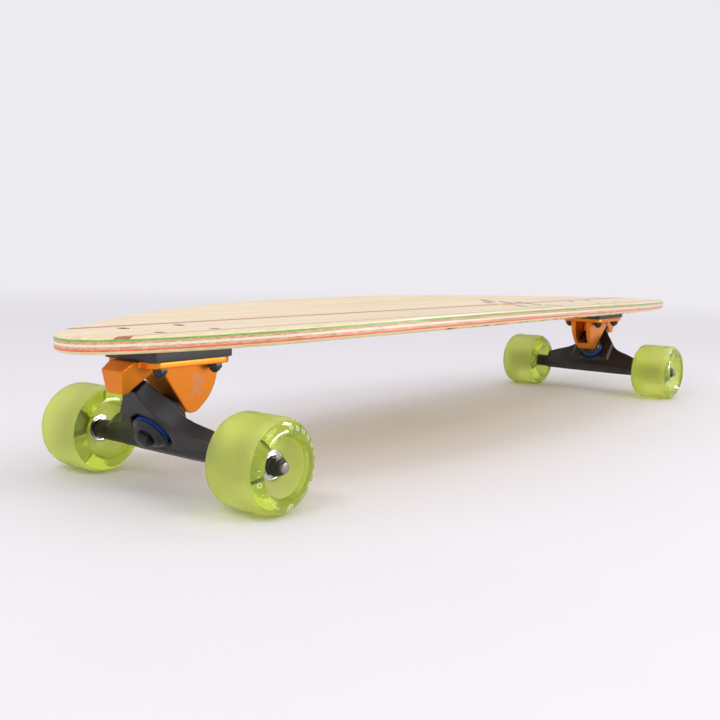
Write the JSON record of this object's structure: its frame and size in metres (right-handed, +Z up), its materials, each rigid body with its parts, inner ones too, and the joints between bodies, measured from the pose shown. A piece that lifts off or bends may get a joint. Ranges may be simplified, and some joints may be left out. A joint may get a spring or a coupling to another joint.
{
  "type": "longboard skateboard",
  "caption": "Laminated pintail cruiser deck on two sprung reverse-kingpin steering trucks, each with a pair of soft urethane wheels on ball bearings.",
  "frame": {"origin": "on the ground, below the middle of the deck's length, on the centreline", "axes": "+X towards the nose, +Y towards the rider's left facing the nose, +Z up"},
  "size_m": [1.05, 0.2444, 0.1335],
  "materials": {
    "bamboo_face": "satin lacquer",
    "green_ply": "dyed, satin",
    "maple_core": "sanded edge, satin",
    "cream_core": "sanded edge, satin",
    "red_ply": "dyed, satin",
    "dark_hardwood": "satin lacquer",
    "riser_rubber": "moulded, matt",
    "orange_anodised": "blasted and anodised, satin",
    "black_casting": "cast, powder coated, satin",
    "pivot_plastic": "moulded",
    "black_steel": "black oxide",
    "plain_steel": "ground",
    "blue_urethane": "cast, satin",
    "lime_urethane": "translucent, ground tread and glossy faces",
    "bearing_steel": "ground and polished",
    "bearing_shield": "pressed"
  },
  "bodies": {
    "deck": {"deck_top_ply": "bamboo_face", "deck_green_ply": "green_ply", "deck_core_upper_ply": "maple_core", "deck_core_middle_ply": "cream_core", "deck_core_lower_ply": "maple_core", "deck_red_ply": "red_ply", "deck_bottom_ply": "bamboo_face", "deck_stringers": "dark_hardwood", "front_riser_pad": "riser_rubber", "front_baseplate": "orange_anodised", "front_pivot_cup": "pivot_plastic", "front_kingpin": "black_steel", "front_kingpin_nut": "black_steel", "front_bushing_boardside": "blue_urethane", "front_bushing_roadside": "blue_urethane", "front_cup_washers": "black_steel", "front_mounting_bolts": "black_steel", "front_mounting_nuts": "black_steel", "rear_riser_pad": "riser_rubber", "rear_baseplate": "orange_anodised", "rear_pivot_cup": "pivot_plastic", "rear_kingpin": "black_steel", "rear_kingpin_nut": "black_steel", "rear_bushing_boardside": "blue_urethane", "rear_bushing_roadside": "blue_urethane", "rear_cup_washers": "black_steel", "rear_mounting_bolts": "black_steel", "rear_mounting_nuts": "black_steel"},
    "front_hanger": {"front_hanger": "black_casting", "front_axle": "plain_steel", "front_axle_nuts": "black_steel", "front_speed_washers": "plain_steel", "front_left_bearing_inner_rings": "bearing_steel", "front_left_bearing_spacer": "plain_steel", "front_right_bearing_inner_rings": "bearing_steel", "front_right_bearing_spacer": "plain_steel"},
    "front_left_wheel": {"front_left_wheel": "lime_urethane", "front_left_bearing_outer_rings": "bearing_steel", "front_left_bearing_balls": "bearing_steel", "front_left_bearing_shields": "bearing_shield"},
    "front_right_wheel": {"front_right_wheel": "lime_urethane", "front_right_bearing_outer_rings": "bearing_steel", "front_right_bearing_balls": "bearing_steel", "front_right_bearing_shields": "bearing_shield"},
    "rear_hanger": {"rear_hanger": "black_casting", "rear_axle": "plain_steel", "rear_axle_nuts": "black_steel", "rear_speed_washers": "plain_steel", "rear_left_bearing_inner_rings": "bearing_steel", "rear_left_bearing_spacer": "plain_steel", "rear_right_bearing_inner_rings": "bearing_steel", "rear_right_bearing_spacer": "plain_steel"},
    "rear_left_wheel": {"rear_left_wheel": "lime_urethane", "rear_left_bearing_outer_rings": "bearing_steel", "rear_left_bearing_balls": "bearing_steel", "rear_left_bearing_shields": "bearing_shield"},
    "rear_right_wheel": {"rear_right_wheel": "lime_urethane", "rear_right_bearing_outer_rings": "bearing_steel", "rear_right_bearing_balls": "bearing_steel", "rear_right_bearing_shields": "bearing_shield"}
  },
  "joints": [
    {"name": "front_steer", "type": "hinge", "parent": "deck", "child": "front_hanger", "pos_m": [0.441, 0, 0.055], "axis": [0.6428, 0, 0.766], "range_deg": [-15, 15], "stiffness_Nm_per_rad": 60, "deforming": ["front_bushing_boardside", "front_bushing_roadside"]},
    {"name": "front_left_spin", "type": "hinge", "parent": "front_hanger", "child": "front_left_wheel", "pos_m": [0.431, 0.0962, 0.035], "axis": [0, 1, 0], "continuous": true},
    {"name": "front_right_spin", "type": "hinge", "parent": "front_hanger", "child": "front_right_wheel", "pos_m": [0.431, -0.0962, 0.035], "axis": [0, 1, 0], "continuous": true},
    {"name": "rear_steer", "type": "hinge", "parent": "deck", "child": "rear_hanger", "pos_m": [-0.341, 0, 0.055], "axis": [-0.6428, 0, 0.766], "range_deg": [-15, 15], "stiffness_Nm_per_rad": 60, "deforming": ["rear_bushing_boardside", "rear_bushing_roadside"]},
    {"name": "rear_left_spin", "type": "hinge", "parent": "rear_hanger", "child": "rear_left_wheel", "pos_m": [-0.331, 0.0962, 0.035], "axis": [0, 1, 0], "continuous": true},
    {"name": "rear_right_spin", "type": "hinge", "parent": "rear_hanger", "child": "rear_right_wheel", "pos_m": [-0.331, -0.0962, 0.035], "axis": [0, 1, 0], "continuous": true}
  ]
}
